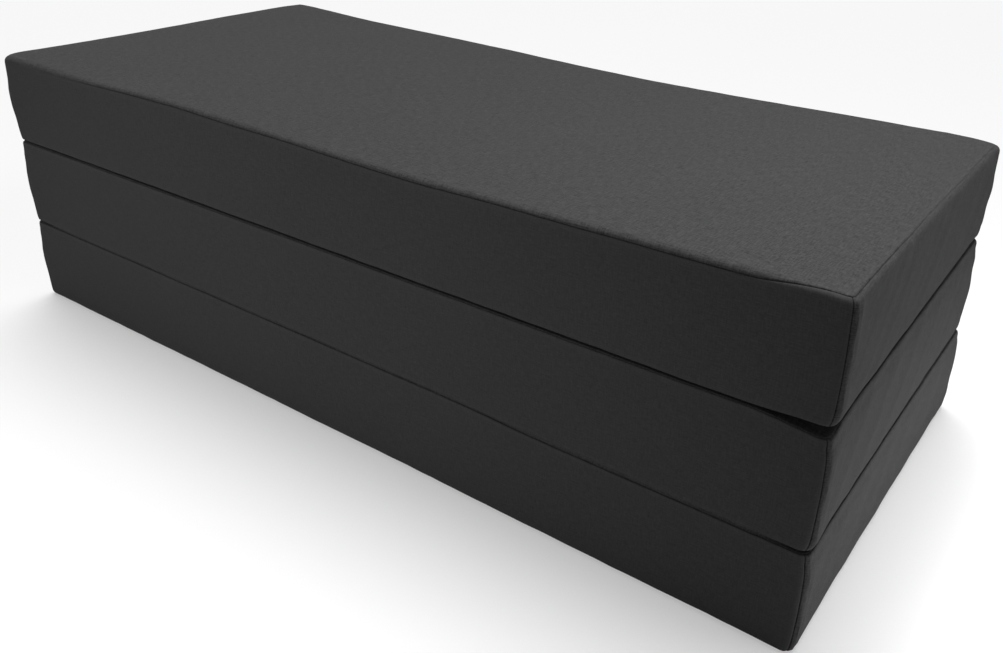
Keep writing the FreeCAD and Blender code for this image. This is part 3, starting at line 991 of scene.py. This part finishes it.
def woven(name, base, yarn, slub, sheen):
    """Plain weave: yarns over and under each other, uneven in thickness and shade, with painted shade in the
    hollows between them.
    """
    s = Shader(name, Sheen_Weight=sheen, Sheen_Roughness=0.55, Specular_IOR_Level=0.22)
    place = s.attribute("fabric", "Vector")
    parts = s.node("SeparateXYZ", {0: place}).outputs
    warp, weft = (s.math("SINE", s.math("MULTIPLY", parts[k], math.pi / yarn)) for k in (0, 1))
    over = s.math("MULTIPLY", warp, weft)
    ribs = s.math("ADD", s.math("ABSOLUTE", warp), s.math("ABSOLUTE", weft))
    grain, wear = s.attribute("grain"), s.attribute("wear")
    warp_slub = s.math("MULTIPLY", s.noise(place, (1.9 * yarn, 20 * yarn, 1)), grain)
    weft_slub = s.math("MULTIPLY", s.noise(place, (20 * yarn, 1.9 * yarn, 1)), grain)
    mottle = s.math("MULTIPLY", s.noise(place, (3.4 * MM, 2.0 * MM, 1), 3.0), grain)
    blotch = s.noise(place, (8 * MM, 6 * MM, 1), 3.0)
    cloud = s.noise(place, (0.16, 0.16, 1))
    weave = s.total((0.4, ribs), (0.3, over))
    # Painted shade: the weave term darkens the colour between the yarns; wear lightens rubbed fabric and
    # darkens seam grooves.
    shade = s.total(0.83, (0.17, weave), (slub, warp_slub), (slub, weft_slub), (1.0, mottle), (0.2, blotch),
                    (0.10, cloud), (0.10, wear))
    height = s.total((1.0, weave), (1.2, warp_slub), (1.2, weft_slub), (1.0, mottle))
    return s.finish(base, shade, s.total(0.88, (0.12, mottle), (-0.05, wear)), height, 0.5, 0.22 * MM)


def twill(name, base):
    """Tape: a fine herringbone."""
    s = Shader(name, Sheen_Weight=0.1, Specular_IOR_Level=0.3)
    place = s.attribute("fabric", "Vector")
    parts = s.node("SeparateXYZ", {0: place}).outputs
    zigzag = s.math("PINGPONG", parts[1], 2.2 * MM)
    ridge = s.math("SINE", s.math("MULTIPLY", s.math("ADD", parts[0], zigzag), 2 * math.pi / (0.9 * MM)))
    grain = s.noise(place, (1.0 * MM, 1.0 * MM, 1))
    shade, height = s.total(0.9, (0.2, ridge), (0.4, grain)), s.total((1.0, ridge), (0.6, grain))
    return s.finish(base, shade, s.total(0.75, (0.2, grain)), height, 0.5, 0.15 * MM)


def grained(name, base, grain_size, contrast, rough, spread, bump, **settings):
    """A plain material with grain in its colour, gloss and surface."""
    s = Shader(name, **settings)
    place = s.node("TexCoord").outputs["Object"]
    fine = s.noise(place, (grain_size,) * 3, 5.0)
    broad = s.noise(place, (grain_size * 9,) * 3)
    shade, gloss = (s.total(middle, (share, fine), (share, broad))
                    for middle, share in ((1.0, contrast), (rough, spread)))
    return s.finish(base, shade, gloss, s.total((1.0, fine), (0.5, broad)), 0.4, bump)


LOOKS = {
    "cover": woven("cover_weave", (0.0470, 0.0470, 0.0473), 0.8 * MM, 0.85, 0.05),
    "hinge": woven("hinge_weave", (0.045, 0.045, 0.0452), 0.8 * MM, 0.85, 0.05),
    "tape": twill("zip_tape_twill", (0.022, 0.022, 0.023)),
    "teeth": grained("zip_nylon", (0.020, 0.020, 0.021), 0.6 * MM, 0.3, 0.42, 0.2, 0.03 * MM),
    "thread": grained("sewing_thread", (0.045, 0.045, 0.047), 0.3 * MM, 0.5, 0.7, 0.2, 0.06 * MM,
                      Sheen_Weight=0.2),
    "metal": grained("zip_painted_metal", (0.045, 0.045, 0.047), 0.9 * MM, 0.5, 0.38, 0.35, 0.03 * MM,
                     Metallic=0.55, Coat_Weight=0.25),
    "foam": grained("open_cell_foam", (0.72, 0.66, 0.50), 1.6 * MM, 0.35, 0.92, 0.1, 0.5 * MM,
                    Sheen_Weight=0.1),
}


# ---- the object

# Edges, in mm: the radius, the seam's place on each of SIDES past the start of the rounding, where it
# leaves and reaches it (near the ends of the long sides and of the short ones), and how much it wavers
CONTACT = (2.6, (2.2, 2.2, 2.2, 2.2), (5, 45, 5, 60), 0.2)
FREE = (8, (12.2, 12.2, 12.0, 1.6), (12, 110, 15, 90), 0.6)
ON_FLOOR = (8, (7, 7, 7, 7), (10, 80, 10, 80), 0.5)
LEVEL_EDGES = {"bottom": (CONTACT, ON_FLOOR), "middle": (CONTACT, CONTACT), "top": (FREE, CONTACT)}

stack = {}
final = {}
for name in SECTIONS:
    high, low = LEVEL_EDGES[name]
    stack[name] = Section(name, Edge(name + " upper", *high), Edge(name + " lower", *low))
    simulate(stack[name])
    patches, final[name] = build_cover(stack[name])
    build_foam(stack[name])
    build_zip(stack[name], patches, final[name])
build_hinge("lower_hinge_strip", "front", stack["bottom"], stack["middle"], final)
build_hinge("upper_hinge_strip", "rear", stack["middle"], stack["top"], final)


# ---- stage, light and camera


def paper(name, shade, glow, bounced):
    """Pale paper on a lit table, that throws back less light on the object than it shows."""
    s = Shader(name, Base_Color=(shade, shade, shade, 1), Roughness=0.9, Specular_IOR_Level=0.1,
               Emission_Color=(1, 1, 1, 1), Emission_Strength=glow)
    dull = s.node("BsdfDiffuse", {"Color": (bounced, bounced, bounced, 1)})
    output = next(n for n in s.tree.nodes if n.type == "OUTPUT_MATERIAL")
    s.tree.links.new(s.by_camera(dull, s.surface), output.inputs["Surface"])
    return s.material


floor = mesh_object("floor", 20 * np.array([(-1, -1, 0), (1, -1, 0), (1, 1, 0), (-1, 1, 0)]), [[0, 1, 2, 3]])
floor.location.z = -0.5 * MM
floor.data.materials.append(paper("floor_paper", 0.6, 0.38, 0.36))
floor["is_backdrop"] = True


def place_lamp(name, lamp, at, toward=(0, 0, 0)):
    """Puts a lamp somewhere and aims it. The camera doesn't see it."""
    obj = new_object(name, lamp)
    obj.location = at
    obj.rotation_mode = "QUATERNION"
    obj.rotation_quaternion = (Vector(at) - Vector(toward)).to_track_quat("Z", "Y")
    obj.visible_camera = False


def sun(name, azimuth, elevation, strength, spread):
    """A soft sun that shines from an azimuth, 0 from the front and 90 from the right, and a height."""
    lamp = bpy.data.lights.new(name, "SUN")
    lamp.energy, lamp.angle = strength, math.radians(spread)
    a, e = math.radians(azimuth), math.radians(elevation)
    place_lamp(name, lamp, (math.sin(a) * math.cos(e), -math.cos(a) * math.cos(e), math.sin(e)))


def panel_light(name, at, toward, size, power):
    """A soft light of a width and a height."""
    lamp = bpy.data.lights.new(name, "AREA")
    lamp.energy, lamp.shape = power, "RECTANGLE"
    lamp.size, lamp.size_y = size
    place_lamp(name, lamp, at, toward)


def pool_light(name, at, toward, cone, size, power):
    """A soft light that fades from its middle to the edge of a cone."""
    lamp = bpy.data.lights.new(name, "SPOT")
    lamp.energy, lamp.spot_size, lamp.spot_blend = power, math.radians(cone), 1.0
    lamp.shadow_soft_size = size
    place_lamp(name, lamp, at, toward)


sun("key", 228, 66, 2.73, 45)
panel_light("end_light", (HALF_LENGTH + 0.26, 0.02, 0.045), (HALF_LENGTH, 0.02, 0.03), (0.9, 0.07), 1.06)
panel_light("high_right_light", (1.0, -0.02, 1.6), (0.8, -0.02, 0.4), (0.6, 0.6), 8.6)
panel_light("front_left_light", (-1.7, -1.9, 0.4), (-0.6, -0.3, 0.15), (1.0, 1.0), 1.9)
pool_light("front_light", (-0.6, -3.2, 0.55), (-0.16, -0.34, 0.25), 43, 0.25, 110)

world = bpy.data.worlds.new("studio")
bpy.context.scene.world = world
world.use_nodes = True
world.node_tree.nodes.clear()
sky = Nodes(world.node_tree)
fill = sky.node("Background", {"Color": (1, 1, 1, 1), "Strength": 0.12})
seen = sky.node("Background", {"Color": (1, 1, 1, 1), "Strength": 1.0})
sky.node("OutputWorld", {0: sky.by_camera(fill, seen)})
bpy.context.scene.view_settings.view_transform = "Standard"

EYE = Vector((0.9803, -1.1925, 0.8766))
YAW, PITCH, ROLL = math.radians(-32.87), math.radians(25.08), math.radians(2.62)
forward = Vector((math.cos(PITCH) * math.sin(YAW), math.cos(PITCH) * math.cos(YAW), -math.sin(PITCH)))
level = forward.cross(Vector((0, 0, 1))).normalized()
upright = level.cross(forward)
right = level * math.cos(ROLL) + upright * math.sin(ROLL)
up = upright * math.cos(ROLL) - level * math.sin(ROLL)
lens = bpy.data.cameras.new("camera")
lens.lens, lens.sensor_width, lens.shift_x, lens.shift_y = 34.49, 36, -0.0643, -0.0548
camera = new_object("camera", lens)
camera.matrix_world = Matrix.Translation(EYE) @ Matrix((right, up, -forward)).transposed().to_4x4()
bpy.context.scene.camera = camera

low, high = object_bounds()
